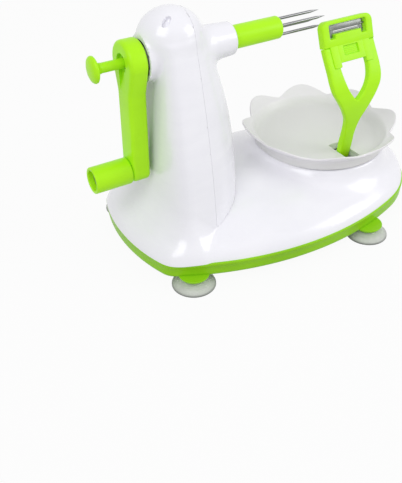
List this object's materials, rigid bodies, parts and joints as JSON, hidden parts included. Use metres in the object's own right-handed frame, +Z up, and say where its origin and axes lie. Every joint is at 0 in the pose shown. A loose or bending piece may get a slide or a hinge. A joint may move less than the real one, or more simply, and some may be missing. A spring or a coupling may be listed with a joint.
{
  "type": "apple peeler",
  "caption": "Hand-cranked apple peeler: a geared tower turns a fork while a turntable swings a sprung peeling arm round the fruit above a petal-edged bowl, on a suction-cup base.",
  "frame": {"origin": "centre of the footprint's bounding box, on the plane of the suction cups' rims", "axes": "+Z up; +X from the crank to the bowl, along the fork's axis; the peeling arm stands on the -Y side at rest"},
  "size_m": [0.26, 0.1726, 0.1775],
  "materials": {
    "white_plastic": "glossy moulded white",
    "green_plastic": "glossy moulded lime green",
    "bowl_plastic": "milky satin plastic",
    "cup_rubber": "clear grey soft vinyl",
    "gear_plastic": "natural acetal",
    "steel": "bright stainless steel",
    "blade_steel": "ground stainless steel"
  },
  "bodies": {
    "base": {"body_shell": "white_plastic", "tower_cover": "white_plastic", "base_tray": "green_plastic", "suction_cups": "cup_rubber", "tray_screws": "steel", "tower_screws": "steel", "crank_bush": "gear_plastic", "fork_bush": "gear_plastic", "compound_axle": "steel", "idler_axle": "steel", "turntable_washer": "steel", "turntable_screw": "steel"},
    "crank": {"crank_arm": "green_plastic", "spindle": "steel", "spindle_bevel_gear": "gear_plastic", "tine_hub": "green_plastic", "fork_tines": "steel", "grip_pin": "steel"},
    "grip": {"crank_grip": "green_plastic"},
    "ejector": {"ejector_button": "green_plastic", "ejector_rod": "steel", "ejector_sleeve": "green_plastic", "ejector_spring": "steel"},
    "shaft": {"drive_shaft": "steel", "shaft_bevel_gear": "gear_plastic", "shaft_pinion": "gear_plastic"},
    "compound": {"compound_gear": "gear_plastic"},
    "idler": {"idler_gear": "gear_plastic"},
    "turntable": {"turntable": "white_plastic", "bowl": "bowl_plastic", "arm_pin": "steel", "arm_spring": "steel"},
    "arm": {"peeler_arm": "green_plastic", "blade_head": "green_plastic"},
    "blade": {"swivel_blade": "blade_steel"}
  },
  "joints": [
    {"name": "crank_turn", "type": "hinge", "parent": "base", "child": "crank", "pos_m": [-0.05525, 0, 0.147], "axis": [1, 0, 0], "range_deg": [-288, 2328]},
    {"name": "grip_spin", "type": "hinge", "parent": "crank", "child": "grip", "pos_m": [-0.1155, 0, 0.069], "axis": [1, 0, 0], "continuous": true},
    {"name": "ejector_push", "type": "slide", "parent": "crank", "child": "ejector", "axis": [1, 0, 0], "range_m": [0, 0.013], "stiffness_N_per_m": 250, "springref_m": -0.006, "deforming": ["ejector_spring"]},
    {"name": "shaft_turn", "type": "hinge", "parent": "base", "child": "shaft", "pos_m": [-0.05525, 0, 0.075], "axis": [0, 0, 1], "range_deg": [-2330, 290]},
    {"name": "compound_turn", "type": "hinge", "parent": "base", "child": "compound", "pos_m": [-0.024, 0, 0.0175], "axis": [0, 0, 1], "range_deg": [-73, 583]},
    {"name": "idler_turn", "type": "hinge", "parent": "base", "child": "idler", "pos_m": [0.00287, 0, 0.014], "axis": [0, 0, 1], "range_deg": [-177, 23]},
    {"name": "turntable_turn", "type": "hinge", "parent": "base", "child": "turntable", "pos_m": [0.061, 0, 0.03], "axis": [0, 0, 1], "range_deg": [-12.2, 97.2]},
    {"name": "arm_tilt", "type": "hinge", "parent": "turntable", "child": "arm", "pos_m": [0.061, -0.028, 0.038], "axis": [1, 0, 0], "range_deg": [0, 30], "stiffness_Nm_per_rad": 0.12, "springref_deg": -22.92, "deforming": ["arm_spring"]},
    {"name": "blade_swivel", "type": "hinge", "parent": "arm", "child": "blade", "pos_m": [0.061, -0.01811, 0.14451], "axis": [1, 0, 0], "range_deg": [-15, 15]}
  ],
  "couplings": [
    {"joint": "shaft_turn", "follows": "crank_turn", "ratio": -1},
    {"joint": "compound_turn", "follows": "crank_turn", "ratio": 0.25},
    {"joint": "idler_turn", "follows": "crank_turn", "ratio": -0.075758},
    {"joint": "turntable_turn", "follows": "crank_turn", "ratio": 0.041667}
  ]
}
